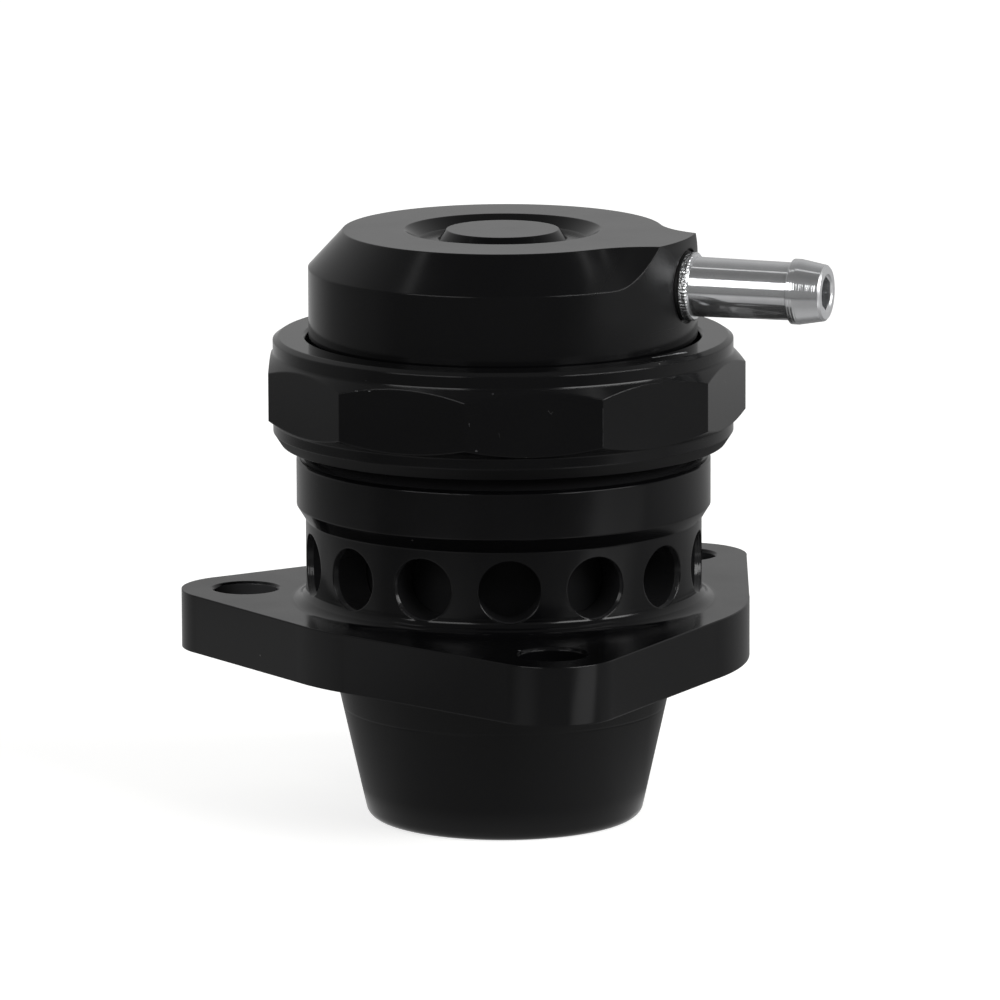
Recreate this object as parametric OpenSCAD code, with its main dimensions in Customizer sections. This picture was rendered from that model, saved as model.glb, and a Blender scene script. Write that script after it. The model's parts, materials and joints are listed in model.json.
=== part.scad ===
// Blow-off valve: a sprung piston in a vented body, under a cap that a ring nut clamps down.
// Millimetres. Z runs up the valve's axis, with zero at the nozzle's free end.
// Radii build outwards from the inlet, and heights build upwards from the nozzle's end.

/* [Nozzle] */
// Bore of the inlet through the nozzle
inlet_d = 23.6; // [20:0.1:26]
// Wall of the nozzle at its free end
nozzle_wall = 1.9; // [1.2:0.1:3]
// Slope of the nozzle's outside, from the axis
nozzle_taper = 12.6; // [6:0.1:15]
// Length of the nozzle below the flange
nozzle_len = 16.25; // [10:0.25:24]
// Rounding of the nozzle's outer end edge
nozzle_edge_r = 1.2; // [0.4:0.1:1.4]
// Fillet between the nozzle and the flange
nozzle_root_r = 0.5; // [0.2:0.1:0.8]

/* [Flange] */
// Thickness of the flange
flange_t = 5.85; // [4:0.05:8]
// Diameter of the flange's round middle
flange_d = 49.2; // [48:0.1:54]
// Distance of each bolt hole from the axis: left, rear and front
bolt_reach = [26.5, 28.5, 29.1]; // [26:0.1:34]
// Direction of each bolt hole about the axis
bolt_angle = [168.8, 49.8, 279.3]; // [0:0.1:360]
// Bolt hole diameter
bolt_hole_d = 6.5; // [4.5:0.1:7]
// Wall of the lobe round each bolt hole
lobe_wall = 3.25; // [2.5:0.05:5]
// Countersink at both ends of a bolt hole
bolt_chamfer = 0.25; // [0.1:0.05:0.5]
// Cross section of the seal under the flange
flange_seal_d = 2; // [1.5:0.1:2.4]
// How far that seal stands out of its groove
flange_seal_proud = 0.5; // [0.2:0.1:0.7]
// Land between the nozzle's fillet and the seal's groove
flange_seal_land = 0.8; // [0.5:0.1:1]

/* [Vents] */
// Wall of the vented skirt
skirt_wall = 4.3; // [3:0.1:6]
// Height of the skirt above the flange
skirt_h = 8.3; // [8:0.05:12]
// Flare where the skirt meets the flange
skirt_flare_r = 1.6; // [0.5:0.1:2]
// Number of vents
vent_count = 14; // [8:1:14]
// Vent diameter
vent_d = 6.2; // [4:0.1:6.6]
// Height of the vents' centres above the flange
vent_rise = 4.3; // [3.8:0.05:5]
// Direction of the first vent about the axis
vent_angle = 271.6; // [0:0.1:360]

/* [Band and neck] */
// Step from the skirt out to the band
band_step = 0.9; // [0.6:0.1:2]
// Height of the slope that makes the step
band_step_h = 1.45; // [0.8:0.05:2]
// Height of the plain band
band_h = 4.75; // [3:0.05:8]
// Depth of the groove above the band
relief_depth = 0.4; // [0.2:0.1:0.8]
// Height of the groove above the band
relief_h = 1.5; // [1:0.1:3]
// Height of the thread on the neck
neck_h = 5.5; // [5:0.1:9]
// Wall of the lip that centres the cap
register_wall = 1.3; // [1:0.1:1.6]
// Height of that lip
register_h = 1.5; // [1:0.1:2]
// Small bevel on outer turned edges
edge_bevel = 0.25; // [0.1:0.05:0.4]

/* [Piston] */
// Width of the seat that the piston closes on
seat_w = 3.7; // [3.2:0.1:4.5]
// Height of the seat above the flange's underside
seat_rise = 1; // [0.5:0.1:2]
// Lift of the piston from shut to open
lift = 10; // [6:0.5:11]
// Thickness of the piston's closed end
piston_floor = 3.5; // [3:0.1:5]
// Wall of the piston's skirt
piston_wall = 2.8; // [2.6:0.1:3.5]
// Height of the rim above the piston's ring
piston_rim = 4.7; // [2:0.1:6]
// Height of the piston's sealing ring
piston_ring_h = 2; // [1.5:0.1:3]
// Depth of the piston's ring groove
piston_ring_depth = 1.8; // [1.2:0.1:2]
// Land between the vents and the piston's ring, when shut
piston_ring_land = 2; // [1:0.1:3]
// Width of the nose seal
nose_seal_w = 1.8; // [1.2:0.1:2]
// Depth of the nose seal's groove
nose_seal_depth = 1.2; // [0.8:0.1:1.6]
// How far the nose seal stands out of the piston
nose_seal_proud = 0.4; // [0.2:0.1:0.6]

/* [Spring] */
// Wire diameter of the return spring
wire_d = 1.8; // [1.2:0.1:2]
// Working coils of the return spring
coils = 5.5; // [3:0.5:7]
// Gap between the spring and the piston's wall
spring_side_gap = 1; // [0.6:0.1:1.5]
// Height of the bosses that centre the spring
spring_boss_h = 2; // [1:0.1:3]
// Thickness of the preload shim
shim_t = 0.8; // [0.5:0.1:2]

/* [Ring nut] */
// Number of flats
nut_flats = 11; // [6:1:12]
// Direction of one corner about the axis
nut_angle = 228.2; // [0:0.1:360]
// Wall of the nut outside its thread
nut_wall = 2.2; // [1.8:0.1:4]
// Thickness of the lip that holds the cap
nut_lip_t = 1.5; // [1.2:0.1:3]
// Height of the bevel and round collar above the flats
nut_top_collar_h = 1.7; // [0.8:0.1:2]
// Height of the chamfer from the upper collar to the corners
nut_top_chamfer_h = 1.3; // [0.8:0.1:1.6]
// Height of the chamfer from the lower collar to the corners
nut_low_chamfer_h = 1.1; // [0.8:0.1:1.6]
// Height of the round collar below the flats
nut_low_collar_h = 1.05; // [0.6:0.05:2]
// Width and height of the bevel on the nut's top edge
nut_top_bevel = [0.55, 0.35]; // [0.2:0.05:0.7]
// Width and height of the bevel under the nut
nut_low_bevel = [0.75, 1.15]; // [0.4:0.05:1.4]
// Thickness of the slip ring under the lip
slip_t = 0.5; // [0.3:0.1:1]

/* [Cap] */
// Thickness of the cap's clamped flange
cap_flange_t = 3.2; // [2.4:0.1:5]
// Width of the step that the nut bears on
clamp_w = 1.2; // [0.8:0.1:1.3]
// Height of the cap above the nut
cap_rise = 10.6; // [10:0.1:14]
// Width of the chamfer round the cap's top
cap_chamfer_w = 3.45; // [1.5:0.05:4]
// Height of the chamfer round the cap's top
cap_chamfer_h = 3.7; // [1.5:0.1:4]
// Thickness of the cap's roof
roof_t = 3.5; // [2.5:0.1:4]
// Outer diameter of the groove in the cap's top
groove_d = 19.6; // [17:0.1:24]
// Depth of that groove
groove_depth = 1; // [0.5:0.1:1.3]
// Slope width of the groove's outer wall
groove_slope = 1.4; // [0.5:0.1:2]
// Diameter of the button inside the groove
button_d = 11.2; // [8:0.1:12]
// Slope width of the button's wall
button_slope = 0.8; // [0.3:0.1:1.2]
// Radius of the blend from the chamfer out to the ear
ear_blend_r = 9; // [6:0.1:12]
// How far outside the cap the blend's centre lies
ear_blend_out = 1.65; // [0.5:0.05:2]
// Turn of the ear's middle from the nipple
ear_turn = -4.2; // [-6:0.1:6]
// Width of the seal in the cap's underside
cap_seal_w = 1.8; // [1.2:0.1:2]
// Depth of that seal's groove
cap_seal_depth = 1.2; // [0.8:0.1:1.6]

/* [Hose nipple] */
// Direction of the nipple about the axis
nipple_angle = -18.9; // [-180:0.1:180]
// Depth of the nipple's axis below the cap's top
nipple_drop = 4.8; // [4.6:0.1:6]
// Diameter of the nipple's tube at the collar
tube_root_d = 5.95; // [5.2:0.05:6.6]
// Diameter of the nipple's tube at the barb
tube_d = 5.75; // [5:0.05:6.4]
// Length from the collar's seat to the tip
nipple_len = 14.5; // [10:0.1:22]
// Diameter of the collar
collar_d = 6.8; // [6:0.1:7.4]
// Thickness of the collar
collar_t = 1; // [0.5:0.1:1.5]
// Bevels on the collar's back and front edges
collar_bevel = [0.2, 0.15]; // [0.1:0.05:0.35]
// Largest diameter of the barb
barb_d = 6.5; // [6:0.1:8]
// Diameter of the tip
barb_tip_d = 5.6; // [4.5:0.1:6]
// Length of the barb
barb_len = 3.4; // [2:0.1:5]
// Length of the barb's round land
barb_land = 0.7; // [0.3:0.1:1.2]
// Bevel on the tip's edge
tip_bevel = 0.2; // [0.1:0.05:0.4]
// Hexagon socket in the tip, across its flats
hex_af = 3; // [2:0.1:3.2]
// Depth of the hexagon socket
hex_depth = 4; // [2:0.1:8]
// Countersink round the socket
hex_chamfer = 0.15; // [0.05:0.05:0.3]
// Bore through the nipple
nipple_bore_d = 2.8; // [2:0.1:3]
// Thread diameter of the nipple's stub
stub_d = 5; // [4.4:0.1:5.4]
// Length of the stub
stub_len = 4; // [2.5:0.1:4.4]
// Thickness of the ring under the collar
nipple_seal_t = 0.2; // [0.2:0.1:0.8]
// Step from the collar out to that ring
nipple_seal_step = 0.05; // [0.05:0.05:0.3]
// Step from that ring out to the spot face
spot_step = 0.3; // [0.1:0.05:0.6]

/* [Clearances] */
// Running clearance of the piston in its bore
piston_fit = 0.08; // [0.03:0.01:0.15]
// Running clearance of the piston's ring in the bore
ring_fit = 0.05; // [0.02:0.01:0.1]
// Radial clearance of the nut's thread on the neck
thread_fit = 0.3; // [0.2:0.05:0.5]
// Clearance of the cap in the nut's lip
lip_fit = 0.3; // [0.2:0.05:0.5]
// Clearance of the cap's flange in the nut
flange_fit = 0.4; // [0.2:0.05:0.6]
// Clearance of the cap on the centring lip
register_fit = 0.1; // [0.05:0.01:0.2]
// Clearance of the piston's rim inside the cap
rim_fit = 0.4; // [0.3:0.05:0.8]
// Clearance at the end of the piston's lift
stop_fit = 0.1; // [0.05:0.05:0.3]
// Clearance between a seal and the sides of its groove
groove_fit = 0.1; // [0.05:0.01:0.2]
// Clearance of the nipple's stub in its hole
stub_fit = 0.05; // [0.03:0.01:0.1]
// Gap at each end of the spring, and between its closed coils
coil_fit = 0.05; // [0.02:0.01:0.1]
// Clearance of the shim and the spring on their bosses
boss_fit = 0.3; // [0.2:0.05:0.5]

/* [Hidden] */
$fn = 96;

// Cutting tools reach this far past the faces that they cut
over = 1;

// The sides of the flange's webs run this far inside the circles that they join, and so cross them cleanly
web_inset = 0.02;

// Colours
anodised = "#1c1c1e";
hard_coat = "#3a3b3d";
rubber = "#141414";
bright = "#c9ccd0";
spring_steel = "#8d9196";
slip_white = "#e6e3da";

// Radii, from the inlet outwards
inlet_r = inlet_d / 2;
bore_r = inlet_r + seat_w;
piston_r = bore_r - piston_fit;
piston_in_r = piston_r - piston_wall;
chamber_r = piston_in_r + spring_side_gap;
skirt_r = bore_r + skirt_wall;
band_r = skirt_r + band_step;
thread_r = band_r;
relief_r = band_r - relief_depth;
nozzle_tip_r = inlet_r + nozzle_wall;
nozzle_top_r = nozzle_tip_r + nozzle_len * tan(nozzle_taper);
register_r = bore_r + register_wall;
nut_bore_r = thread_r + thread_fit;
nut_flat_r = nut_bore_r + nut_wall;
nut_corner_r = nut_flat_r / cos(180 / nut_flats);
nut_collar_step = 0.22;
nut_collar_r = nut_flat_r - nut_collar_step;
cap_flange_r = nut_bore_r - flange_fit;
cap_r = cap_flange_r - clamp_w;
cap_top_r = cap_r - cap_chamfer_w;
nut_lip_r = cap_r + lip_fit;
lobe_r = bolt_hole_d / 2 + lobe_wall;
flange_r = flange_d / 2;

// Heights, from the nozzle's end upwards
flange_z = nozzle_len;
flange_top_z = flange_z + flange_t;
seat_z = flange_z + seat_rise;
vent_z = flange_top_z + vent_rise;
skirt_top_z = flange_top_z + skirt_h;
band_z = skirt_top_z + band_step_h;
band_top_z = band_z + band_h;
nut_z = band_top_z + relief_h;
shoulder_z = nut_z + neck_h;
register_z = shoulder_z + register_h;
clamp_z = shoulder_z + cap_flange_t;
nut_lip_z = clamp_z + slip_t;
nut_top_z = nut_lip_z + nut_lip_t;
cap_top_z = nut_top_z + cap_rise;
cap_chamfer_z = cap_top_z - cap_chamfer_h;
ceiling_z = cap_top_z - roof_t;
nipple_z = cap_top_z - nipple_drop;
piston_z = seat_z + nose_seal_proud;
piston_floor_z = piston_z + piston_floor;
piston_ring_z = vent_z + vent_d / 2 + piston_ring_land;
piston_top_z = piston_ring_z + piston_ring_h + 2 * groove_fit + piston_rim;
stop_z = piston_top_z + lift + stop_fit;

// Seals
nose_seal_r = (inlet_r + bore_r) / 2;
cap_seal_r = (register_r + register_fit + cap_flange_r) / 2;
flange_groove_w = flange_seal_d + 4 * groove_fit;
flange_seal_r = nozzle_top_r + nozzle_root_r + flange_seal_land + flange_groove_w / 2;

// Spring
wire_r = wire_d / 2;
spring_r = piston_in_r - spring_side_gap - wire_r;
boss_r = spring_r - wire_r - boss_fit;
shim_in_r = boss_r + boss_fit;
shim_out_r = chamber_r - boss_fit;
shim_z = ceiling_z - shim_t;
spring_z = piston_floor_z + coil_fit;
spring_h = shim_z - coil_fit - spring_z;
closed_pitch = wire_d + coil_fit;
open_pitch = (spring_h - wire_d - 2 * closed_pitch) / coils;
turns = coils + 2;
turn_steps = 24;
wire_sides = 8;

// Ear: the chamfer's outline leaves the round top on an arc about this point, on each side
ear_x = cap_r + ear_blend_out;
ear_y = sqrt(pow(cap_top_r + ear_blend_r, 2) - pow(ear_x, 2));
ear_angle = atan2(ear_y, ear_x);
ear_middle = nipple_angle + ear_turn;
chamfer_slope = cap_chamfer_w / cap_chamfer_h;

// Nipple, measured along its own axis from the valve's axis
spot_r = collar_d / 2 + nipple_seal_step + spot_step;
spot_x = sqrt(pow(cap_r, 2) - pow(spot_r, 2));
collar_x = spot_x + nipple_seal_t;
tube_x = collar_x + collar_t;
tip_x = collar_x + nipple_len;
barb_x = tip_x - barb_len;
stub_x = collar_x - nipple_seal_t - stub_len;

// Ring of rectangular section with round inner and outer sides, as a seal is when squeezed between two flats
module flat_seal(r, w, z, h) {
    rotate_extrude() {
        translate([r - w / 2 + h / 2, z])
            square([w - h, h]);
        for (side = [-1, 1])
            translate([r + side * (w - h) / 2, z + h / 2])
                circle(h / 2);
    }
}

// Washer between two radii
module washer(r_in, r_out, z, t) {
    translate([0, 0, z])
        difference() {
            cylinder(r = r_out, h = t);
            translate([0, 0, -over])
                cylinder(r = r_in, h = t + 2 * over);
        }
}

// Half section of a concave fillet in the corner at a point, open towards +X and the given side of Z
module corner_fillet(x, z, r, side) {
    translate([x, z])
        scale([1, side])
            difference() {
                translate([-r, -r])
                    square(2 * r);
                translate([r, r])
                    circle(r);
                translate([r, -r])
                    square([over, 3 * r]);
                translate([-r, r])
                    square([3 * r, over]);
            }
}

// Places what is drawn along +Z on the nipple's axis, with zero on the valve's axis
module on_nipple_axis() {
    rotate([0, 0, nipple_angle])
        translate([0, 0, nipple_z])
            rotate([0, 90, 0])
                children();
}

// Middle of one lobe, in plan
function lobe(i) = bolt_reach[i] * [cos(bolt_angle[i]), sin(bolt_angle[i])];

// Direction in plan
function toward(angle) = [cos(angle), sin(angle)];

// Web from the round middle to a lobe, with straight sides that all but touch both circles
module lobe_web(i) {
    swing = acos((flange_r - lobe_r) / bolt_reach[i]);
    left = toward(bolt_angle[i] + swing);
    right = toward(bolt_angle[i] - swing);
    inner = flange_r - web_inset;
    outer = lobe_r - web_inset;
    polygon([inner * right, lobe(i) + outer * right, lobe(i) + outer * left, inner * left]);
}

module flange_plate() {
    translate([0, 0, flange_z])
        linear_extrude(flange_t)
            union() {
                circle(flange_r);
                for (i = [0 : len(bolt_angle) - 1]) {
                    lobe_web(i);
                    translate(lobe(i))
                        circle(lobe_r);
                }
            }
}

module bolt_holes() {
    hole_r = bolt_hole_d / 2;
    for (i = [0 : len(bolt_angle) - 1])
        translate([lobe(i).x, lobe(i).y, flange_z]) {
            translate([0, 0, -over])
                cylinder(r = hole_r, h = flange_t + 2 * over);
            translate([0, 0, flange_t - bolt_chamfer])
                cylinder(r1 = hole_r, r2 = hole_r + bolt_chamfer + over, h = bolt_chamfer + over);
            translate([0, 0, -over])
                cylinder(r1 = hole_r + bolt_chamfer + over, r2 = hole_r, h = bolt_chamfer + over);
        }
}

// Turned outside of the body: nozzle, skirt, band, groove and neck
module body_outline() {
    difference() {
        union() {
            polygon([
                [0, 0], [nozzle_tip_r, 0], [nozzle_top_r, flange_z], [skirt_r, flange_z],
                [skirt_r, skirt_top_z], [band_r, band_z],
                [band_r, band_top_z - edge_bevel], [band_r - edge_bevel, band_top_z],
                [relief_r, band_top_z], [relief_r, nut_z],
                [thread_r, nut_z], [thread_r, shoulder_z - edge_bevel], [thread_r - edge_bevel, shoulder_z],
                [register_r, shoulder_z], [register_r, register_z], [0, register_z]
            ]);
            corner_fillet(skirt_r, flange_top_z, skirt_flare_r, 1);
            corner_fillet(nozzle_top_r, flange_z, nozzle_root_r, -1);
        }
        nozzle_edge();
    }
}

// What the rounding takes off the nozzle's outer end edge
module nozzle_edge() {
    centre_x = nozzle_tip_r - nozzle_edge_r * tan((90 - nozzle_taper) / 2);
    difference() {
        translate([centre_x, -over])
            square([nozzle_edge_r + over, over + nozzle_edge_r * (1 - sin(nozzle_taper))]);
        translate([centre_x, nozzle_edge_r])
            circle(nozzle_edge_r);
    }
}

module vents() {
    for (i = [0 : vent_count - 1])
        rotate([0, 0, vent_angle + i * 360 / vent_count])
            translate([inlet_r, 0, vent_z])
                rotate([0, 90, 0])
                    cylinder(r = vent_d / 2, h = skirt_r + skirt_flare_r + over - inlet_r);
}

module valve_body() {
    color(anodised)
        difference() {
            union() {
                rotate_extrude()
                    body_outline();
                flange_plate();
            }
            translate([0, 0, -over])
                cylinder(r = inlet_r, h = seat_z + 2 * over);
            translate([0, 0, seat_z])
                cylinder(r = bore_r, h = register_z - seat_z + over);
            vents();
            bolt_holes();
            washer(
                flange_seal_r - flange_groove_w / 2, flange_seal_r + flange_groove_w / 2,
                flange_z - over, flange_seal_d - flange_seal_proud + over
            );
        }
}

module flange_o_ring() {
    color(rubber)
        translate([0, 0, flange_z - flange_seal_proud + flange_seal_d / 2])
            rotate_extrude()
                translate([flange_seal_r, 0])
                    circle(flange_seal_d / 2);
}

module piston() {
    groove_h = piston_ring_h + 2 * groove_fit;
    groove_r = piston_r - piston_ring_depth;
    color(hard_coat)
        difference() {
            rotate_extrude()
                polygon([
                    [0, piston_z], [piston_r - edge_bevel, piston_z], [piston_r, piston_z + edge_bevel],
                    [piston_r, piston_ring_z], [groove_r, piston_ring_z],
                    [groove_r, piston_ring_z + groove_h], [piston_r, piston_ring_z + groove_h],
                    [piston_r, piston_top_z - edge_bevel], [piston_r - edge_bevel, piston_top_z],
                    [piston_in_r, piston_top_z], [piston_in_r, piston_floor_z],
                    [boss_r, piston_floor_z], [boss_r, piston_floor_z + spring_boss_h],
                    [0, piston_floor_z + spring_boss_h]
                ]);
            washer(
                nose_seal_r - nose_seal_w / 2 - groove_fit, nose_seal_r + nose_seal_w / 2 + groove_fit,
                piston_z - over, nose_seal_depth + over
            );
        }
}

module nose_seal() {
    color(rubber)
        flat_seal(nose_seal_r, nose_seal_w, seat_z, nose_seal_depth + nose_seal_proud);
}

module piston_seal() {
    outer_r = bore_r - ring_fit;
    inner_r = piston_r - piston_ring_depth + groove_fit;
    color(rubber)
        washer(inner_r, outer_r, piston_ring_z + groove_fit, piston_ring_h);
}

// Height of the wire's centre after so many turns: closed coils at both ends, open ones between
function coil_z(turn) =
    spring_z + wire_r + closed_pitch * min(turn, 1)
    + open_pitch * max(0, min(turn - 1, coils))
    + closed_pitch * max(0, turn - 1 - coils);

// Point on the wire's skin
function wire_point(step, side) =
    let (
        turn = step / turn_steps,
        around = 360 * side / wire_sides,
        reach = spring_r + wire_r * cos(around)
    )
    [reach * cos(360 * turn), reach * sin(360 * turn), coil_z(turn) + wire_r * sin(around)];

module return_spring() {
    steps = turns * turn_steps;
    points = [for (step = [0 : steps], side = [0 : wire_sides - 1]) wire_point(step, side)];
    skin = [
        for (step = [0 : steps - 1], side = [0 : wire_sides - 1], half = [0, 1])
            let (
                a = step * wire_sides + side,
                b = step * wire_sides + (side + 1) % wire_sides,
                c = a + wire_sides,
                d = b + wire_sides
            )
            half == 0 ? [a, b, d] : [a, d, c]
    ];
    first = [for (side = [wire_sides - 1 : -1 : 0]) side];
    last = [for (side = [0 : wire_sides - 1]) steps * wire_sides + side];
    color(spring_steel)
        polyhedron(points, concat([first], skin, [last]));
}

module preload_shim() {
    color(bright)
        washer(shim_in_r, shim_out_r, shim_z, shim_t);
}

// Outside of the cap before its top is chamfered
module cap_blank() {
    translate([0, 0, shoulder_z])
        cylinder(r = cap_flange_r, h = cap_flange_t);
    translate([0, 0, clamp_z - over])
        cylinder(r = cap_r, h = cap_top_z - clamp_z + over);
}

// The chamfer runs round the top and leaves it on two arcs, so that the ear between them stays full
module cap_chamfer() {
    rotate([0, 0, ear_middle + ear_angle])
        rotate_extrude(angle = 360 - 2 * ear_angle)
            polygon([
                [cap_r + over * chamfer_slope, cap_chamfer_z - over],
                [cap_r + over * (1 + chamfer_slope), cap_top_z + over],
                [cap_top_r - over * chamfer_slope, cap_top_z + over]
            ]);
    for (side = [-1, 1])
        rotate([0, 0, ear_middle])
            translate([ear_x, side * ear_y, cap_chamfer_z - over])
                cylinder(
                    r1 = ear_blend_r - cap_chamfer_w - over * chamfer_slope,
                    r2 = ear_blend_r + over * chamfer_slope,
                    h = cap_chamfer_h + 2 * over
                );
}

// Groove in the cap's top, round the button
module top_groove() {
    rotate_extrude()
        polygon([
            [button_d / 2, cap_top_z], [button_d / 2, cap_top_z + over], [groove_d / 2, cap_top_z + over],
            [groove_d / 2, cap_top_z], [groove_d / 2 - groove_slope, cap_top_z - groove_depth],
            [button_d / 2 + button_slope, cap_top_z - groove_depth]
        ]);
}

// Room inside the cap: centring lip, piston's rim, and the spring's chamber round its boss
module cap_inside() {
    rim_r = piston_r + rim_fit;
    lip_r = register_r + register_fit;
    lip_top_z = register_z + register_fit;
    rotate_extrude()
        polygon([
            [0, shoulder_z - over], [lip_r, shoulder_z - over], [lip_r, lip_top_z], [rim_r, lip_top_z],
            [rim_r, stop_z], [chamber_r, stop_z], [chamber_r, ceiling_z], [boss_r, ceiling_z],
            [boss_r, ceiling_z - spring_boss_h], [0, ceiling_z - spring_boss_h]
        ]);
    washer(
        cap_seal_r - cap_seal_w / 2 - groove_fit, cap_seal_r + cap_seal_w / 2 + groove_fit,
        shoulder_z - over, cap_seal_depth + over
    );
}

// Spot face for the nipple, and its hole into the chamber
module nipple_port() {
    on_nipple_axis() {
        translate([0, 0, spot_x])
            cylinder(r = spot_r, h = cap_r - spot_x + over);
        translate([0, 0, chamber_r - over])
            cylinder(r = stub_d / 2 + stub_fit, h = spot_x - chamber_r + 2 * over);
    }
}

module cap() {
    color(anodised)
        difference() {
            cap_blank();
            cap_chamfer();
            top_groove();
            cap_inside();
            nipple_port();
        }
}

module cap_o_ring() {
    color(rubber)
        flat_seal(cap_seal_r, cap_seal_w, shoulder_z, cap_seal_depth);
}

module hose_nipple() {
    collar_r = collar_d / 2;
    barb_r = barb_d / 2;
    tip_r = barb_tip_d / 2;
    hex_r = hex_af / 2 / cos(30);
    color(bright)
        on_nipple_axis()
            difference() {
                rotate_extrude()
                    polygon([
                        [0, stub_x], [stub_d / 2, stub_x], [stub_d / 2, collar_x],
                        [collar_r - collar_bevel[0], collar_x], [collar_r, collar_x + collar_bevel[0]],
                        [collar_r, tube_x - collar_bevel[1]], [collar_r - collar_bevel[1], tube_x],
                        [tube_root_d / 2, tube_x], [tube_d / 2, barb_x],
                        [barb_r, barb_x], [barb_r, barb_x + barb_land],
                        [tip_r, tip_x - tip_bevel], [tip_r - tip_bevel, tip_x], [0, tip_x]
                    ]);
                translate([0, 0, stub_x - over])
                    cylinder(r = nipple_bore_d / 2, h = tip_x - stub_x);
                translate([0, 0, tip_x - hex_depth])
                    cylinder(r = hex_r, h = hex_depth + over, $fn = 6);
                translate([0, 0, tip_x - hex_chamfer])
                    cylinder(r1 = hex_r, r2 = hex_r + hex_chamfer + over, h = hex_chamfer + over);
            }
}

module nipple_seal() {
    color(rubber)
        on_nipple_axis()
            washer(
                stub_d / 2 + groove_fit, collar_d / 2 + nipple_seal_step, spot_x, nipple_seal_t
            );
}

module slip_ring() {
    color(slip_white)
        washer(nut_lip_r, cap_flange_r, clamp_z, slip_t);
}

// Turned outline of the nut, before its flats are cut
module nut_outline() {
    low_z = nut_z + nut_low_bevel[1] + nut_low_collar_h;
    high_z = nut_top_z - nut_top_collar_h;
    polygon([
        [0, nut_z], [nut_collar_r - nut_low_bevel[0], nut_z], [nut_collar_r, nut_z + nut_low_bevel[1]],
        [nut_collar_r, low_z], [nut_corner_r + nut_collar_step, low_z + nut_low_chamfer_h],
        [nut_corner_r + nut_collar_step, high_z - nut_top_chamfer_h], [nut_collar_r, high_z],
        [nut_collar_r, nut_top_z - nut_top_bevel[1]], [nut_collar_r - nut_top_bevel[0], nut_top_z],
        [0, nut_top_z]
    ]);
}

module ring_nut() {
    color(anodised)
        difference() {
            intersection() {
                rotate_extrude()
                    nut_outline();
                rotate([0, 0, nut_angle])
                    translate([0, 0, nut_z - over])
                        cylinder(r = nut_corner_r, h = nut_top_z - nut_z + 2 * over, $fn = nut_flats);
            }
            translate([0, 0, nut_z - over])
                cylinder(r = nut_bore_r, h = nut_lip_z - nut_z + over);
            translate([0, 0, nut_z])
                cylinder(r = nut_lip_r, h = nut_top_z - nut_z + over);
            translate([0, 0, nut_top_z - edge_bevel])
                cylinder(r1 = nut_lip_r, r2 = nut_lip_r + edge_bevel + over, h = edge_bevel + over);
        }
}

valve_body();
flange_o_ring();
piston();
nose_seal();
piston_seal();
return_spring();
preload_shim();
cap();
cap_o_ring();
hose_nipple();
nipple_seal();
slip_ring();
ring_nut();
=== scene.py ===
"""Looks of the blow-off valve: finishes, spring, studio and camera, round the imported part."""
import json
import math
from functools import partial

import bpy
import numpy as np
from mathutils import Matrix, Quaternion, Vector


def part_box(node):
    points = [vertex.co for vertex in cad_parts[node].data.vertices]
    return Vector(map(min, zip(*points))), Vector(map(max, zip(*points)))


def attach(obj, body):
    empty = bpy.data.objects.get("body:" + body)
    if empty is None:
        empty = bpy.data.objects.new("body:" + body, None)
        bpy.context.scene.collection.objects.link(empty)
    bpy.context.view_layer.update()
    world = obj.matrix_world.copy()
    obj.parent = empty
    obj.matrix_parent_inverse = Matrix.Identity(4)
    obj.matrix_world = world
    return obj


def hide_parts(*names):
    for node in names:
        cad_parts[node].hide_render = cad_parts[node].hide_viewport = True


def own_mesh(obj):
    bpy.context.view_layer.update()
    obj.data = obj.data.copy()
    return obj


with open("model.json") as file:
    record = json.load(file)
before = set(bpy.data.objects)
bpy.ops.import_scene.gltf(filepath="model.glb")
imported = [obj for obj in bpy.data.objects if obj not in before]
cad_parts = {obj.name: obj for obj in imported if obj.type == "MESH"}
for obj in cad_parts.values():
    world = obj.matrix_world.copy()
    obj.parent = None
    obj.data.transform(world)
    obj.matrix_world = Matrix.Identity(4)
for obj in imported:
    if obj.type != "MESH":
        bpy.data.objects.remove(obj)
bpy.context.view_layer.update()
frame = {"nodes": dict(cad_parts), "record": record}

MM = 0.001
scene = bpy.context.scene
nodes = frame["nodes"]
mounts = {mount["name"]: mount for mount in frame["record"]["mounts"]}

# Sizes read from the frame, in metres
spring_low, spring_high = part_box("return_spring")
nipple_tip = Vector(mounts["hose_nipple"]["pos_m"])
nipple_axis = Vector(mounts["hose_nipple"]["axis"])

# Sizes of the solids that their boxes don't show, in millimetres
BORE_R = 15.5
SKIRT_R = 19.8
VENT_Z = (23.3, 29.5)
FLANGE_TOP_Z = 22.1
FLARE_TOP_Z = 23.7
BAND_TOP_Z = 36.6
NUT_FOOT_Z = 38.1
NUT_LOW_BEVEL_H = 1.15
NUT_COLLAR_Z = 47.1
NUT_TOP_Z = 48.8
CAP_TOP_R = 15.95
CAP_TOP_Z = 59.4
NIPPLE_LEN = 14.5
NIPPLE_COLLAR_T = 1.0
BARB_LEN = 3.4
# How far the ear's middle is turned from the nipple, in degrees
EAR_TURN = -4.2

# Most values of a noise lie between these
NOISE_LOW = 0.3
NOISE_HIGH = 0.7


# Colour and node helpers

def linear(colour):
    """sRGB hex to linear RGBA: each channel through the inverse of the sRGB curve."""
    channels = [int(colour[i:i + 2], 16) / 255 for i in (1, 3, 5)]
    return (*[c / 12.92 if c <= 0.04045 else ((c + 0.055) / 1.055) ** 2.4 for c in channels], 1)


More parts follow.
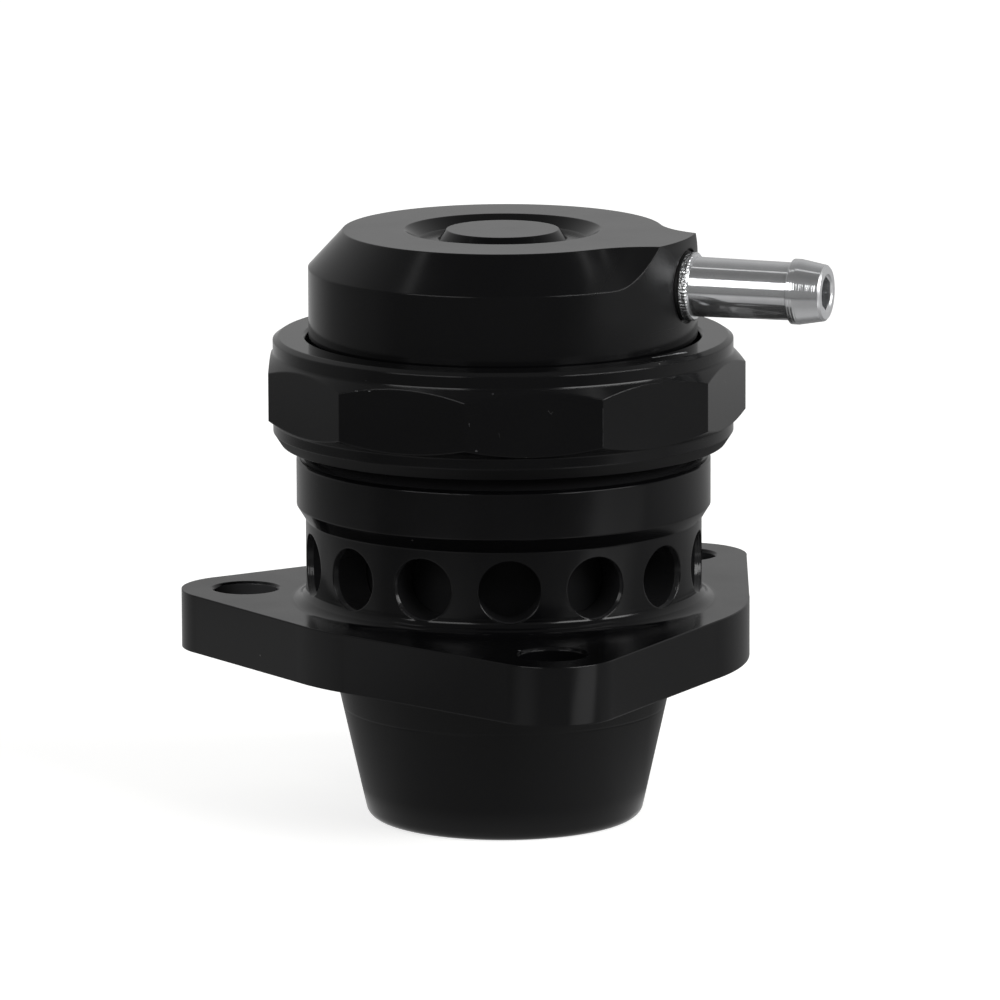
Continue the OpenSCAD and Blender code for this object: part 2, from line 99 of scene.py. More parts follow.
def add_node(tree, kind, inputs=None, **settings):
    """Adds a node with its settings, gives each named or numbered input a value or a link,
    and returns the node's outputs. Of the numbered inputs, MapRange has 0 its value, 1 and 2 the
    range it comes from, 3 and 4 the range it goes to, and Mix 0 its share, 6 and 7 its colours."""
    made = tree.nodes.new("ShaderNode" + kind)
    for name, value in settings.items():
        setattr(made, name, value)
    for name, value in (inputs or {}).items():
        if isinstance(value, bpy.types.NodeSocket):
            tree.links.new(value, made.inputs[name])
        else:
            made.inputs[name].default_value = value
    return made.outputs


def new_material(name):
    """Empty node material, and the call that adds a node to it."""
    material = bpy.data.materials.new(name)
    material.use_nodes = True
    material.node_tree.nodes.clear()
    return material, partial(add_node, material.node_tree)


def millimetres(add):
    """Place on the piece in millimetres, from its own Object coordinates."""
    place = add("TexCoord")["Object"]
    return add("VectorMath", {0: place, "Scale": 1 / MM}, operation="SCALE")[0]


def within(add, value, low, high, soft):
    """One between two values and zero outside, with soft ends."""
    rise = add("MapRange", {0: value, 1: low, 2: low + soft})[0]
    fall = add("MapRange", {0: value, 1: high, 2: high - soft})[0]
    return add("Math", {0: rise, 1: fall}, operation="MINIMUM")[0]


def finish_with(node_names, material):
    """Puts one material on all of these nodes."""
    for name in node_names:
        nodes[name].data.materials.clear()
        nodes[name].data.materials.append(material)


# Black finish

# Nicks and scratches in the film, and one painted glint: two ends and a half width in
# millimetres, and how much metal shows through, which for the glint is how bright it is
NICKS_AND_GLINT = [
    ((-3.36, -23.82, 44.1), (-3.31, -23.81, 43.75), 0.05, 0.05),
    ((-0.44, -23.45, 43.0), (-0.4, -23.45, 42.6), 0.035, 0.02),
    ((4.34, -22.83, 45.1), (4.63, -22.8, 44.76), 0.035, 0.04),
    ((4.63, -22.8, 44.76), (4.8, -22.78, 44.95), 0.03, 0.04),
    ((-1.05, -23.24, 46.84), (-0.99, -23.24, 46.84), 0.11, 0.04),
    ((-14.41, -18.84, 46.4), (-14.3, -18.9, 46.4), 0.06, 0.35),
    ((-13.13, -19.45, 46.5), (-13.0, -19.5, 46.5), 0.05, 0.35),
    ((-2.68, -23.72, 41.29), (-2.62, -23.73, 41.29), 0.11, 0.06),
    ((14.7, -14.2, 48.8), (17.0, -12.2, 48.8), 0.16, 0.6),
    ((17.0, -12.1, 48.8), (17.9, -11.3, 48.8), 0.32, 1.0),
    ((9.7, -22.14, 45.2), (9.7, -22.14, 41.4), 0.045, 0.03),
    # Painted glint on the front bolt hole's left rim, drawn as bare metal
    ((1.38, -26.92, 22.1), (1.5, -26.85, 22.1), 0.1, 0.6),
]


def nick_and_glint_marks(add, place):
    """Metal shown on each nick, and the painted glint, by the distance to its line; zero elsewhere.
    """
    worn_and_glint = 0.0
    for start, end, half_width, shows in NICKS_AND_GLINT:
        span = Vector(end) - Vector(start)
        per_span = span / span.length_squared
        offset = add("VectorMath", {0: place, 1: start}, operation="SUBTRACT")[0]
        share = add("VectorMath", {0: offset, 1: per_span}, operation="DOT_PRODUCT")["Value"]
        held = add("Clamp", {0: share})[0]
        nearest = add("VectorMath", {0: held, 1: span, 2: start}, operation="MULTIPLY_ADD")[0]
        apart = add("VectorMath", {0: place, 1: nearest}, operation="DISTANCE")["Value"]
        mark = add("MapRange", {0: apart, 1: half_width, 2: half_width / 2, 4: shows})[0]
        worn_and_glint = add("Math", {0: worn_and_glint, 1: mark}, operation="MAXIMUM")[0]
    # Nicks are ragged: the film holds on where the noise is low
    break_w, holds_on, is_gone = 0.2, 0.38, 0.5
    breaks = add("TexNoise", {"Vector": place, "Scale": 1 / break_w, "Detail": 2.0})["Fac"]
    ragged = add("MapRange", {0: breaks, 1: holds_on, 2: is_gone})[0]
    return add("Math", {0: worn_and_glint, 1: ragged}, operation="MULTIPLY")[0]


def dust(add, place):
    """One on specks of about 0.15 mm, in one cell out of eight, and zero elsewhere."""
    cell_w = 2.2
    rarity = 0.87
    # Shares of a cell
    speck_edge, speck_core = 0.05, 0.02
    cells = add("TexVoronoi", {"Vector": place, "Scale": 1 / cell_w})
    chosen = add("SeparateColor", {"Color": cells["Color"]})["Red"]
    rare = add("Math", {0: chosen, 1: rarity}, operation="GREATER_THAN")[0]
    speck = add("MapRange", {0: cells["Distance"], 1: speck_edge, 2: speck_core})[0]
    return add("Math", {0: rare, 1: speck}, operation="MULTIPLY")[0]


def vent_rims(add, radius, in_vent):
    """Height of the vents' rims in millimetres: a hand tool broke them inwards, in fine steps."""
    reach, depth = 0.7, 0.52
    step, step_share = 0.25, 0.03
    lip_r, wall_r = SKIRT_R - 0.02, SKIRT_R - 0.015
    fall = add("MapRange", {0: radius, 1: SKIRT_R - reach, 2: lip_r, 4: -depth})[0]
    turns = add("Math", {0: radius, 1: 2 * math.pi / step}, operation="MULTIPLY")[0]
    waves = add("Math", {0: turns}, operation="SINE")[0]
    steps = add("Math", {0: fall, 1: waves}, operation="MULTIPLY")[0]
    stepped = add("Math", {0: steps, 1: step_share, 2: fall}, operation="MULTIPLY_ADD")[0]
    inside = add("Math", {0: radius, 1: wall_r}, operation="LESS_THAN")[0]
    on_rim = add("Math", {0: in_vent, 1: inside}, operation="MULTIPLY")[0]
    return add("Math", {0: stepped, 1: on_rim}, operation="MULTIPLY")[0]


def skirt_flare(add, z, radius):
    """Height that bends the skirt's flare, in millimetres: it starts upright and then turns out
    sharply, and so its glint is a narrow line."""
    upright_end, bend_end, slope_end = [FLARE_TOP_Z - drop for drop in (0.3, 0.55, 1.0)]
    upright_h, bend_h, slope_h = -0.028, 0.0375, 0.135
    face_r = SKIRT_R - 0.02
    upright = add("MapRange", {0: z, 1: FLARE_TOP_Z, 2: upright_end})[0]
    bend = add("MapRange", {0: z, 1: upright_end, 2: bend_end})[0]
    slope = add("MapRange", {0: z, 1: bend_end, 2: slope_end, 4: slope_h})[0]
    arc = add("Math", {0: bend, 1: bend}, operation="MULTIPLY")[0]
    bent = add("Math", {0: arc, 1: bend_h, 2: slope}, operation="MULTIPLY_ADD")[0]
    lean = add("Math", {0: upright, 1: upright}, operation="MULTIPLY")[0]
    flared = add("Math", {0: lean, 1: upright_h, 2: bent}, operation="MULTIPLY_ADD")[0]
    outside = add("Math", {0: radius, 1: face_r}, operation="GREATER_THAN")[0]
    return add("Math", {0: flared, 1: outside}, operation="MULTIPLY")[0]


def machined_edges(add, z, radius, in_vent):
    """Height in millimetres of what the tools left on edges, each part flat away from its place."""
    rims = vent_rims(add, radius, in_vent)
    flare = skirt_flare(add, z, radius)
    # Line round the nozzle
    line_z, line_half, line_depth = 11.3, 0.15, 0.03
    line = within(add, z, line_z - line_half, line_z + line_half, line_half)
    scribed = add("Math", {0: line, 1: -line_depth, 2: rims}, operation="MULTIPLY_ADD")[0]
    turned = add("Math", {0: flare, 1: scribed}, operation="ADD")[0]
    # The nut's upper collar spreads where it meets the chamfer below it
    spread_h, spread_out = 0.18, 0.06
    foot = add("MapRange", {0: z, 1: NUT_COLLAR_Z + spread_h, 2: NUT_COLLAR_Z, 4: spread_out})[0]
    spread = add("Math", {0: turned, 1: foot}, operation="ADD")[0]
    # The groove under the nut is hollow: it leans in as far as it is high, and so it mirrors the
    # nut's dark underside
    groove_h = NUT_FOOT_Z - BAND_TOP_Z
    hollow = add("MapRange", {0: z, 1: BAND_TOP_Z, 2: NUT_FOOT_Z, 4: -groove_h})[0]
    return add("Math", {0: spread, 1: hollow}, operation="ADD")[0]


def film_and_fill_colour(add, z, plan, radius, in_vent, clouds):
    """Near black, with painted light: paler on the walls of the vents, in the groove under the nut
    and in two bolt holes, to lift the shade there.
    """
    deep, cloudy = linear("#070708"), linear("#0a0a0b")
    fill_paler, fill_palest = linear("#222223"), linear("#404041")
    film = add("Mix", {0: clouds, 6: deep, 7: cloudy}, data_type="RGBA")[2]
    # Painted light: paler on the walls of the vents, and partly in the groove under the nut, to
    # lift the shade there
    skin = 0.05
    in_wall = within(add, radius, BORE_R + skin, SKIRT_R - skin, skin)
    vent_fill = add("Math", {0: in_wall, 1: in_vent}, operation="MULTIPLY")[0]
    lip, groove_fill_share = 0.02, 0.6
    in_groove = within(add, z, BAND_TOP_Z + lip, NUT_FOOT_Z, lip)
    groove_fill = add("Math", {0: in_groove, 1: groove_fill_share}, operation="MULTIPLY")[0]
    fill_share = add("Math", {0: vent_fill, 1: groove_fill}, operation="MAXIMUM")[0]
    tint = add("Mix", {0: fill_share, 6: film, 7: fill_paler}, data_type="RGBA")[2]
    # Paler still in the left and rear bolt holes: painted light that lifts their shade
    for hole in (mounts["bolt_hole_left"], mounts["bolt_hole_rear"]):
        middle = Vector(hole["pos_m"]).xy.to_3d() / MM
        wall_r = hole["dims"]["r_mm"] + 0.03
        apart = add("VectorMath", {0: plan, 1: middle}, operation="DISTANCE")["Value"]
        in_hole = add("Math", {0: apart, 1: wall_r}, operation="LESS_THAN")[0]
        tint = add("Mix", {0: in_hole, 6: tint, 7: fill_palest}, data_type="RGBA")[2]
    return tint


def film_roughness(add, z, plan, clouds):
    """Glossy on turned faces, and duller on the ear, the flange's top and the nut's lower bevel."""
    glossiest, least_glossy = 0.12, 0.17
    ear_dull, flange_dull, bevel_dull = 0.24, 0.08, 0.35
    # The ear round the nipple is blended with a small cutter
    ear_axis = Quaternion((0, 0, 1), math.radians(EAR_TURN)) @ nipple_axis
    outward = add("VectorMath", {0: plan, 1: ear_axis}, operation="DOT_PRODUCT")["Value"]
    ear_start, ear_full = CAP_TOP_R - 2.0, CAP_TOP_R + 0.5
    foot_start, foot_full = NUT_TOP_Z + 0.5, NUT_TOP_Z + 4.0
    top_edge = CAP_TOP_Z - 0.02
    out_of_cap = add("MapRange", {0: outward, 1: ear_start, 2: ear_full})[0]
    above_nut = add("MapRange", {0: z, 1: foot_start, 2: foot_full})[0]
    below_top = add("Math", {0: z, 1: top_edge}, operation="LESS_THAN")[0]
    beside = add("Math", {0: above_nut, 1: below_top}, operation="MINIMUM")[0]
    on_ear = add("Math", {0: out_of_cap, 1: beside}, operation="MULTIPLY")[0]
    # The flange's upper face is milled
    skin, soft = 0.05, 0.02
    on_flange = within(add, z, FLANGE_TOP_Z - skin, FLANGE_TOP_Z + skin, soft)
    milled = add("Math", {0: on_flange, 1: flange_dull}, operation="MULTIPLY")[0]
    dull = add("Math", {0: on_ear, 1: ear_dull, 2: milled}, operation="MULTIPLY_ADD")[0]
    on_bevel = within(add, z, NUT_FOOT_Z, NUT_FOOT_Z + NUT_LOW_BEVEL_H, skin)
    duller = add("Math", {0: on_bevel, 1: bevel_dull, 2: dull}, operation="MULTIPLY_ADD")[0]
    gloss = add("MapRange", {
        0: clouds, 1: NOISE_LOW, 2: NOISE_HIGH, 3: glossiest, 4: least_glossy
    })[0]
    return add("Math", {0: gloss, 1: duller}, operation="ADD")[0]


def black_anodised_aluminium():
    """Turned and milled aluminium, etched fine and anodised black: near black, with a deep clear
    gloss, dust, a few nicked spots down to the metal, and one painted glint on a bolt hole's rim."""
    material, add = new_material("black_anodised_aluminium")
    place = millimetres(add)
    x, y, z = add("SeparateXYZ", {0: place})
    plan = add("CombineXYZ", {0: x, 1: y, 2: 0.0})[0]
    radius = add("VectorMath", {0: plan}, operation="LENGTH")["Value"]
    margin = 0.2
    in_vent = within(add, z, VENT_Z[0] - margin, VENT_Z[1] + margin, margin / 2)

    # Film and handling marks, in wide clouds
    cloud_w = 6
    clouds = add("TexNoise", {"Vector": place, "Scale": 1 / cloud_w, "Detail": 4.0})["Fac"]
    tint = film_and_fill_colour(add, z, plan, radius, in_vent, clouds)
    speck, metal = linear("#6d6d6b"), linear("#e2e3e5")
    dusted = add("Mix", {0: dust(add, place), 6: tint, 7: speck}, data_type="RGBA")[2]
    # Nicks show bare metal; the same colour paints a glint on the front bolt hole's rim
    worn_and_glint = add("Mix", {0: nick_and_glint_marks(add, place), 6: dusted, 7: metal}, data_type="RGBA")[2]

    # Edges are broken, and corners filleted
    edge_break = 0.2
    rounded = add("Bevel", {"Radius": edge_break * MM}, samples=8)["Normal"]
    edges = machined_edges(add, z, radius, in_vent)
    tooled = add("Bump", {
        "Height": edges, "Normal": rounded, "Strength": 1.0, "Distance": MM
    })[0]
    # Etched grain, drawn several times coarser than the real one so that it shows
    grain_w, grain_depth = 0.15, 0.01
    grain = add("TexNoise", {"Vector": place, "Scale": 1 / grain_w, "Detail": 1.0})["Fac"]
    relief = add("Bump", {
        "Height": grain, "Normal": tooled, "Strength": 0.1, "Distance": grain_depth * MM
    })[0]
    shader = add("BsdfPrincipled", {
        "Base Color": worn_and_glint, "Roughness": film_roughness(add, z, plan, clouds), "IOR": 1.35,
        "Normal": relief
    })[0]
    add("OutputMaterial", {"Surface": shader})
    return material


# Other finishes

def hard_anodised_aluminium():
    """Turned aluminium with a thick black hard coat: dull, with fine rings from the tool."""
    material, add = new_material("hard_anodised_aluminium")
    z = add("SeparateXYZ", {0: millimetres(add)})[2]
    height = add("CombineXYZ", {0: z, 1: 0.0, 2: 0.0})[0]
    # Tool rings, drawn about twice as coarse as the tool's feed so that they show
    ring_w, ring_depth = 0.25, 0.01
    rings = add("TexNoise", {"Vector": height, "Scale": 1 / ring_w, "Detail": 2.0})["Fac"]
    dark, pale = linear("#121213"), linear("#161617")
    tint = add("Mix", {0: rings, 6: dark, 7: pale}, data_type="RGBA")[2]
    relief = add("Bump", {"Height": rings, "Strength": 0.2, "Distance": ring_depth * MM})[0]
    shader = add("BsdfPrincipled", {
        "Base Color": tint, "Roughness": 0.5, "IOR": 1.2, "Normal": relief
    })[0]
    add("OutputMaterial", {"Surface": shader})
    return material


def collar_ridges(add, place, along, collar):
    """Rough ridges round the nipple's collar, about 0.35 mm apart: a wave of the angle about the
    nipple's axis, torn by noise, and zero off the collar."""
    ridge_count, skin = 60, 0.05
    tear_w, tear, torn_low, torn_high = 0.3, 1.5, 0.35, 0.65
    side = Vector((0, 0, 1)).cross(nipple_axis)
    across = add("VectorMath", {0: place, 1: side}, operation="DOT_PRODUCT")["Value"]
    z = add("SeparateXYZ", {0: place})[2]
    above = add("Math", {0: z, 1: nipple_tip.z / MM}, operation="SUBTRACT")[0]
    angle = add("Math", {0: above, 1: across}, operation="ARCTAN2")[0]
    phase = add("Math", {0: angle, 1: ridge_count}, operation="MULTIPLY")[0]
    ridges = add("Math", {0: phase}, operation="SINE")[0]
    patches = add("TexNoise", {"Vector": place, "Scale": 1 / tear_w, "Detail": 2.0})["Fac"]
    torn = add("MapRange", {0: patches, 1: torn_low, 2: torn_high, 3: -tear, 4: tear})[0]
    rough = add("Math", {0: ridges, 1: torn}, operation="ADD")[0]
    on_collar = within(add, along, collar + skin, collar + NIPPLE_COLLAR_T, skin)
    return add("Math", {0: rough, 1: on_collar}, operation="MULTIPLY")[0]


def bright_plated_steel():
    """Turned steel with a bright nickel plate: a clear mirror, with ridges round the collar and
    rings on the barb."""
    material, add = new_material("bright_plated_steel")
    place = millimetres(add)
    along = add("VectorMath", {0: place, 1: nipple_axis}, operation="DOT_PRODUCT")["Value"]
    tip = nipple_tip.dot(nipple_axis) / MM

    edge_break = 0.08
    rounded = add("Bevel", {"Radius": edge_break * MM}, samples=8)["Normal"]
    ridge_depth = 0.02
    ribbed = add("Bump", {
        "Height": collar_ridges(add, place, along, tip - NIPPLE_LEN), "Normal": rounded,
        "Strength": 1.0, "Distance": ridge_depth * MM
    })[0]
    # Tool rings, about twice as coarse as the tool's feed so that they show, and faint off the barb
    ring_w, ring_depth, off_barb = 0.2, 0.035, 0.07
    lengthwise = add("CombineXYZ", {0: along, 1: 0.0, 2: 0.0})[0]
    rings = add("TexNoise", {"Vector": lengthwise, "Scale": 1 / ring_w, "Detail": 2.0})["Fac"]
    barb_start, barb_full = tip - BARB_LEN, tip - BARB_LEN + 0.1
    on_barb = add("MapRange", {0: along, 1: barb_start, 2: barb_full, 3: off_barb})[0]
    turned = add("Math", {0: rings, 1: on_barb}, operation="MULTIPLY")[0]
    relief = add("Bump", {
        "Height": turned, "Normal": ribbed, "Strength": 1.0, "Distance": ring_depth * MM
    })[0]

    # Faint stains in the plate, and a duller end face
    stain_w, face_dull = 2.0, 0.25
    glossiest, least_glossy = 0.09, 0.13
    stains = add("TexNoise", {"Vector": place, "Scale": 1 / stain_w, "Detail": 4.0})["Fac"]
    clear, stained = linear("#f1f2f3"), linear("#dfe0e2")
    tint = add("Mix", {0: stains, 6: clear, 7: stained}, data_type="RGBA")[2]
    polish = add("MapRange", {
        0: stains, 1: NOISE_LOW, 2: NOISE_HIGH, 3: glossiest, 4: least_glossy
    })[0]
    face_start, face_full = tip - 0.3, tip - 0.1
    on_face = add("MapRange", {0: along, 1: face_start, 2: face_full, 4: face_dull})[0]
    gloss = add("Math", {0: polish, 1: on_face}, operation="ADD")[0]
    shader = add("BsdfPrincipled", {
        "Base Color": tint, "Roughness": gloss, "Metallic": 0.92, "Normal": relief
    })[0]
    add("OutputMaterial", {"Surface": shader})
    return material


def nitrile_rubber():
    """Moulded black rubber: dull, with a fine grain from the mould."""
    material, add = new_material("nitrile_rubber")
    # Drawn coarser than the mould's grain so that it shows
    grain_w, grain_depth = 0.2, 0.02
    place = millimetres(add)
    grain = add("TexNoise", {"Vector": place, "Scale": 1 / grain_w, "Detail": 3.0})["Fac"]
    dark, pale = linear("#0b0b0b"), linear("#161616")
    tint = add("Mix", {0: grain, 6: dark, 7: pale}, data_type="RGBA")[2]
    relief = add("Bump", {"Height": grain, "Strength": 0.3, "Distance": grain_depth * MM})[0]
    shader = add("BsdfPrincipled", {
        "Base Color": tint, "Roughness": 0.55, "IOR": 1.52, "Normal": relief
    })[0]
    add("OutputMaterial", {"Surface": shader})
    return material


def oil_tempered_wire():
    """Drawn and oil-tempered spring wire: grey steel with a dark bloom in patches."""
    material, add = new_material("oil_tempered_wire")
    bloom_w = 3.0
    glossiest, least_glossy = 0.28, 0.4
    place = millimetres(add)
    bloom = add("TexNoise", {"Vector": place, "Scale": 1 / bloom_w, "Detail": 5.0})["Fac"]
    dark, bright = linear("#5d5f63"), linear("#8b8c8e")
    tint = add("Mix", {0: bloom, 6: dark, 7: bright}, data_type="RGBA")[2]
    gloss = add("MapRange", {
        0: bloom, 1: NOISE_LOW, 2: NOISE_HIGH, 3: glossiest, 4: least_glossy
    })[0]
    shader = add("BsdfPrincipled", {"Base Color": tint, "Roughness": gloss, "Metallic": 1.0})[0]
    add("OutputMaterial", {"Surface": shader})
    return material


def slip_ring_plastic():
    """Skived white low-friction plastic: waxy and slightly warm, with faint clouds."""
    material, add = new_material("slip_ring_plastic")
    cloud_w = 1.5
    place = millimetres(add)
    wax = add("TexNoise", {"Vector": place, "Scale": 1 / cloud_w, "Detail": 3.0})["Fac"]
    warm, white = linear("#dedad0"), linear("#ece9e1")
    tint = add("Mix", {0: wax, 6: warm, 7: white}, data_type="RGBA")[2]
    shader = add("BsdfPrincipled", {"Base Color": tint, "Roughness": 0.42, "IOR": 1.38})[0]
    add("OutputMaterial", {"Surface": shader})
    return material


# New pieces

def swept_mesh(name, rings):
    """Mesh from an array of rings of points (rings, points, 3): quads between neighbours, and a
    face on each end."""
    count, sides = rings.shape[:2]
    index = np.arange(count * sides).reshape(count, sides)
    here = index[:-1]
    there = index[1:]
    corners = [here, np.roll(here, -1, 1), np.roll(there, -1, 1), there]
    quads = np.stack(corners, -1).reshape(-1, 4)
    faces = quads.tolist() + [index[0, ::-1].tolist(), index[-1].tolist()]
    mesh = bpy.data.meshes.new(name)
    mesh.from_pydata(rings.reshape(-1, 3).tolist(), [], faces)
    mesh.update()
    piece = bpy.data.objects.new(name, mesh)
    scene.collection.objects.link(piece)
    return piece


# Spring: the same wire and coils as its solid, with a finer skin
WIRE_D = 1.8 * MM
COIL_GAP = 0.05 * MM
OPEN_COILS = 5.5
CLOSED_COILS = 2
SPRING_RINGS = 480
WIRE_SIDES = 20


def make_spring():
    """A circle carried along a helix: one closed turn at each end, and even open turns between."""
    wire_r = WIRE_D / 2
    coil_r = spring_high.x - wire_r
    closed_pitch = WIRE_D + COIL_GAP
    open_rise = spring_high.z - spring_low.z - WIRE_D - CLOSED_COILS * closed_pitch
    open_pitch = open_rise / OPEN_COILS
    turn = np.linspace(0, OPEN_COILS + CLOSED_COILS, SPRING_RINGS)[:, None]
    around = np.linspace(0, 2 * np.pi, WIRE_SIDES, endpoint=False)[None, :]
    rise = (
        closed_pitch * np.minimum(turn, 1) + open_pitch * np.clip(turn - 1, 0, OPEN_COILS)
        + closed_pitch * np.maximum(turn - 1 - OPEN_COILS, 0)
    )
    reach = coil_r + wire_r * np.cos(around)
    angle = 2 * np.pi * turn
    height = spring_low.z + wire_r + rise + wire_r * np.sin(around)
    rings = np.stack([reach * np.cos(angle), reach * np.sin(angle), height], -1)
    piece = swept_mesh("coil_spring", rings)
    piece.data.shade_smooth()
    return piece


# Studio

def grey_curve(add, value, low, high, stops):
    """Grey that follows a table of (value, level) stops over a range of the value."""
    share = add("MapRange", {0: value, 1: low, 2: high})[0]
    grey = add("ValToRGB", {"Fac": share})["Color"]
    elements = grey.node.color_ramp.elements
    for i, (place, level) in enumerate(stops):
        element = elements[i] if i < 2 else elements.new(1.0)
        element.position = (place - low) / (high - low)
        element.color = (level, level, level, 1)
    return grey


# Painted reflection: what the part mirrors of the floor is an emitted grey, by the direction
# round the part in degrees, 0 towards the camera and + to the right. It is dim far off in front
# and pale behind, brighter near the part, dimmer again at its foot as a painted shadow, and light
# under the nozzle
FAR_FLOOR = [
    (-180, 0.42), (-140, 0.33), (-118, 0.22), (-80, 0.2), (-65, 0.14), (35, 0.13), (70, 0.3),
    (90, 0.36), (180, 0.36)
]
NEAR_FLOOR = [
    (-180, 0.3), (-110, 0.42), (-76, 0.42), (-70, 0.22), (-60, 0.22), (-40, 0.5), (-28, 0.5),
    (-14, 0.3), (60, 0.3), (72, 0.36), (105, 0.2), (180, 0.25)
]
FOOT_FLOOR = [
    (-180, 0.22), (-116, 0.22), (-72, 0.33), (0, 0.3), (45, 0.42), (70, 0.42), (110, 0.18),
    (180, 0.18)
]
UNDER_NOZZLE = 0.62
# Distances from the axis over which each gives way to the next one inwards, in metres
NEAR_AT = (0.195, 0.125)
FOOT_AT = (0.07, 0.05)
UNDER_AT = (0.0185, 0.0145)
# The far floor grows this many times paler between two distances
PALER_AT = (0.24, 0.29)
PALER = 1.35

# The right lamp's pool: grey by the distance to the right, where it starts, and a front and a rear
# edge, each with its slope and the places between which it is soft, in metres
POOL = [(0.0, 1.15), (0.12, 1.15), (0.16, 0.65), (0.24, 0.35), (0.3, 0.35)]
POOL_REACH = 0.3
POOL_START = (0.03, 0.05)
POOL_FRONT = (0.23, -0.102, -0.088)
POOL_REAR = (-0.25, -0.069, -0.083)

# Light that lifts the lit floor to white for the camera, at two distances in metres
LIFT_AT = (0.1, 0.5)
LIFT = (0.7, 0.8)


def mirrored_floor(add, place, distance):
    """The tables above, from far to near, with the pool laid over them as a wedge that opens to
    the right between two straight edges."""
    x, y = add("SeparateXYZ", {0: place})[:2]
    towards = add("Math", {0: y, 1: -1.0}, operation="MULTIPLY")[0]
    turn = add("Math", {0: x, 1: towards}, operation="ARCTAN2")[0]
    angle = add("Math", {0: turn}, operation="DEGREES")[0]
    far, near, foot = [
        grey_curve(add, angle, -180, 180, table) for table in (FAR_FLOOR, NEAR_FLOOR, FOOT_FLOOR)
    ]
    gain = add("MapRange", {0: distance, 1: PALER_AT[0], 2: PALER_AT[1], 3: 1.0, 4: PALER})[0]
    floor = add("VectorMath", {0: far, "Scale": gain}, operation="SCALE")[0]
    under = (UNDER_NOZZLE, UNDER_NOZZLE, UNDER_NOZZLE, 1)
    for (start, end), inner in ((NEAR_AT, near), (FOOT_AT, foot), (UNDER_AT, under)):
        share = add("MapRange", {0: distance, 1: start, 2: end})[0]
        floor = add("Mix", {0: share, 6: floor, 7: inner}, data_type="RGBA")[2]

    reach = add("MapRange", {0: x, 1: POOL_START[0], 2: POOL_START[1]})[0]
    sides = []
    for slope, start, end in (POOL_FRONT, POOL_REAR):
        edge = add("Math", {0: x, 1: slope, 2: y}, operation="MULTIPLY_ADD")[0]
        sides.append(add("MapRange", {0: edge, 1: start, 2: end})[0])
    between = add("Math", {0: sides[0], 1: sides[1]}, operation="MINIMUM")[0]
    wedge = add("Math", {0: reach, 1: between}, operation="MULTIPLY")[0]
    fading = grey_curve(add, x, 0.0, POOL_REACH, POOL)
    pool = add("Math", {0: wedge, 1: fading}, operation="MULTIPLY")[0]
    return add("Mix", {0: 1.0, 6: floor, 7: pool}, data_type="RGBA", blend_type="LIGHTEN")[2]


def pale_floor_material():
    """Matte pale floor. Looked at, it is lifted to white where it is lit, and so a faint shadow
    stays. Where the part mirrors it, it glows with the greys of the tables above, a painted
    reflection."""
    material, add = new_material("pale_floor")
    place = add("TexCoord")["Object"]
    distance = add("VectorMath", {0: place}, operation="LENGTH")["Value"]
    light = add("LightPath")
    mirrored = add("Math", {
        0: light["Is Glossy Ray"], 1: light["Is Transmission Ray"]
    }, operation="MAXIMUM")[0]
    painted = add("Emission", {"Color": mirrored_floor(add, place, distance)})[0]
    level = add("MapRange", {
        0: distance, 1: LIFT_AT[0], 2: LIFT_AT[1], 3: LIFT[0], 4: LIFT[1]
    })[0]
    lift = add("Math", {0: light["Is Camera Ray"], 1: level}, operation="MULTIPLY")[0]
    lifted = add("Emission", {"Strength": lift})[0]
    matte = add("BsdfDiffuse", {"Color": linear("#e4e4e2")})[0]
    pale = add("AddShader", {0: matte, 1: lifted})[0]
    mixed = add("MixShader", {0: mirrored, 1: pale, 2: painted})[0]
    add("OutputMaterial", {"Surface": mixed})
    return material


def make_floor(reach=4.0):
    """Flat square at the nozzle's free end, this far each way from the axis, in metres."""
    mesh = bpy.data.meshes.new("floor")
    corners = reach * np.array([[-1, -1, 0], [1, -1, 0], [1, 1, 0], [-1, 1, 0]])
    mesh.from_pydata(corners.tolist(), [], [[0, 1, 2, 3]])
    mesh.materials.append(pale_floor_material())
    floor = bpy.data.objects.new("floor", mesh)
    scene.collection.objects.link(floor)


def make_world():
    """White where it is looked at; for mirrors and light, pale behind the part, and dim in front
    and overhead."""
    front, rear, overhead = 0.2, 0.46, 0.6
    # Directions between which one gives way to the other, as parts of a length of one
    front_y, rear_y, side_z, top_z = -0.3, 0.6, 0.6, 0.9
    world = bpy.data.worlds.new("studio")
    scene.world = world
    world.use_nodes = True
    world.node_tree.nodes.clear()
    add = partial(add_node, world.node_tree)
    light = add("LightPath")
    y, z = add("SeparateXYZ", {0: add("TexCoord")["Generated"]})[1:]
    sweep = add("MapRange", {0: y, 1: front_y, 2: rear_y, 3: front, 4: rear})[0]
    dimming = add("MapRange", {0: z, 1: side_z, 2: top_z, 3: 1.0, 4: overhead})[0]
    sky = add("Math", {0: sweep, 1: dimming}, operation="MULTIPLY")[0]
    strength = add("Mix", {0: light["Is Camera Ray"], 2: sky, 3: 1.0})[0]
    background = add("Background", {"Color": linear("#ffffff"), "Strength": strength})[0]
    add("OutputWorld", {"Surface": background})


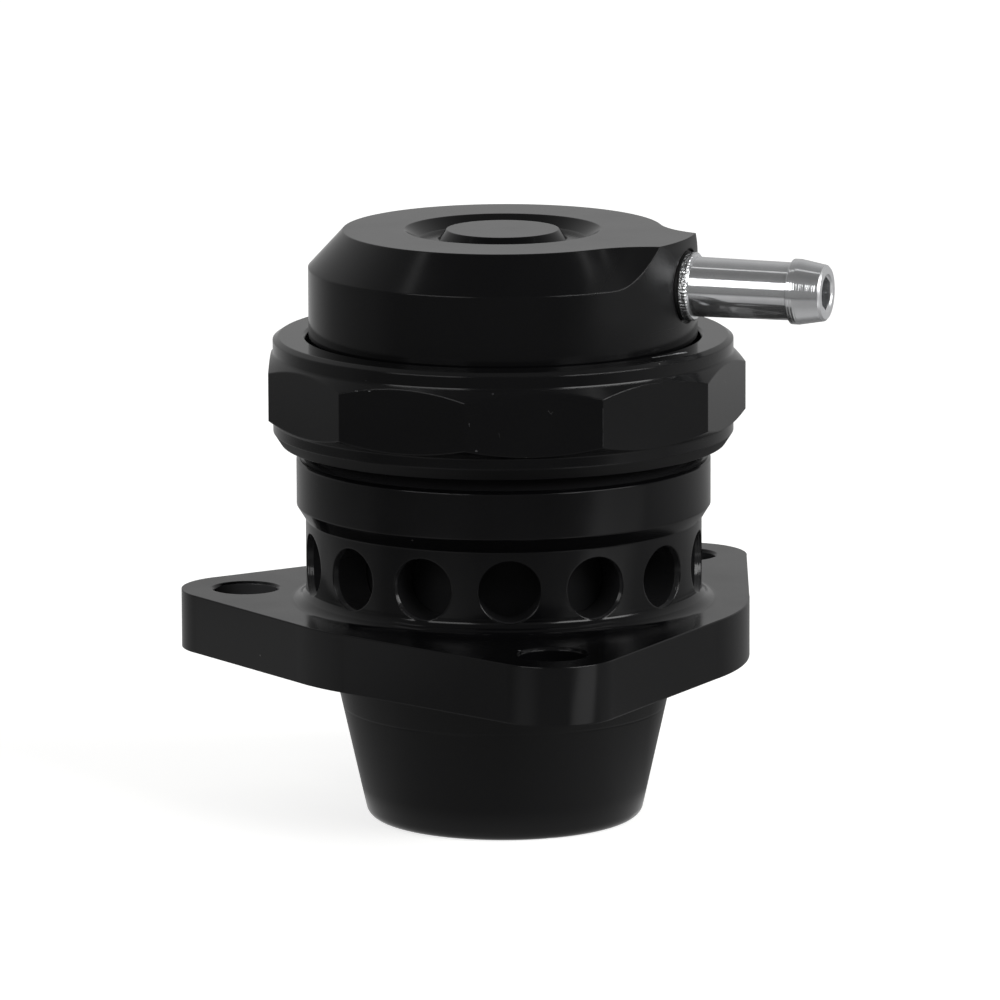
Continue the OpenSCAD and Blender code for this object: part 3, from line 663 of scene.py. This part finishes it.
def make_lamp(name, azimuth, elevation, distance, width, height, power):
    """Soft box: azimuth to the right of the camera and elevation above the floor in degrees,
    sizes in metres and power in watts."""
    turn = math.radians(azimuth)
    rise = math.radians(elevation)
    target = Vector((0, 0, 30 * MM))
    level = math.cos(rise)
    back = Vector((math.sin(turn) * level, -math.cos(turn) * level, math.sin(rise)))
    data = bpy.data.lights.new(name, "AREA")
    data.shape = "RECTANGLE"
    data.size = width
    data.size_y = height
    data.energy = power
    lamp = bpy.data.objects.new(name, data)
    lamp.location = target + back * distance
    lamp.rotation_euler = (-back).to_track_quat("-Z", "Y").to_euler()
    scene.collection.objects.link(lamp)


def make_camera():
    """Long lens from the photograph's side, a little above the part and rolled a hair."""
    elevation = math.radians(10.7)
    roll = math.radians(-0.23)
    distance = 0.95
    target = Vector((-0.37 * MM, 0, 31.95 * MM))
    back = Vector((0, -math.cos(elevation), math.sin(elevation)))
    data = bpy.data.cameras.new("camera")
    data.sensor_width = 36
    data.lens = 342
    data.clip_start = 0.05
    data.clip_end = 20
    camera = bpy.data.objects.new("camera", data)
    camera.location = target + back * distance
    aim = (-back).to_track_quat("-Z", "Y") @ Quaternion((0, 0, 1), roll)
    camera.rotation_euler = aim.to_euler()
    scene.collection.objects.link(camera)
    scene.camera = camera


make_camera()
make_world()
make_floor()
make_lamp(
    "right_softbox", azimuth=56, elevation=27, distance=0.8, width=0.65, height=0.33, power=4.4
)
make_lamp(
    "left_softbox", azimuth=-40, elevation=27, distance=0.8, width=0.52, height=0.33, power=1.75
)
make_lamp("top_strip", azimuth=180, elevation=88, distance=0.9, width=1.4, height=0.05, power=0.2)
scene.view_settings.view_transform = "Standard"

finish_with(["valve_body", "cap", "ring_nut"], black_anodised_aluminium())
finish_with(["piston"], hard_anodised_aluminium())
finish_with(["hose_nipple"], bright_plated_steel())
seals = ["flange_o_ring", "nose_seal", "piston_seal", "cap_o_ring", "nipple_seal"]
finish_with(seals, nitrile_rubber())
wire = oil_tempered_wire()
finish_with(["return_spring", "preload_shim"], wire)
finish_with(["slip_ring"], slip_ring_plastic())

spring = make_spring()
spring.data.materials.append(wire)
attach(spring, "cap")
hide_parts("return_spring")
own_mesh(spring)
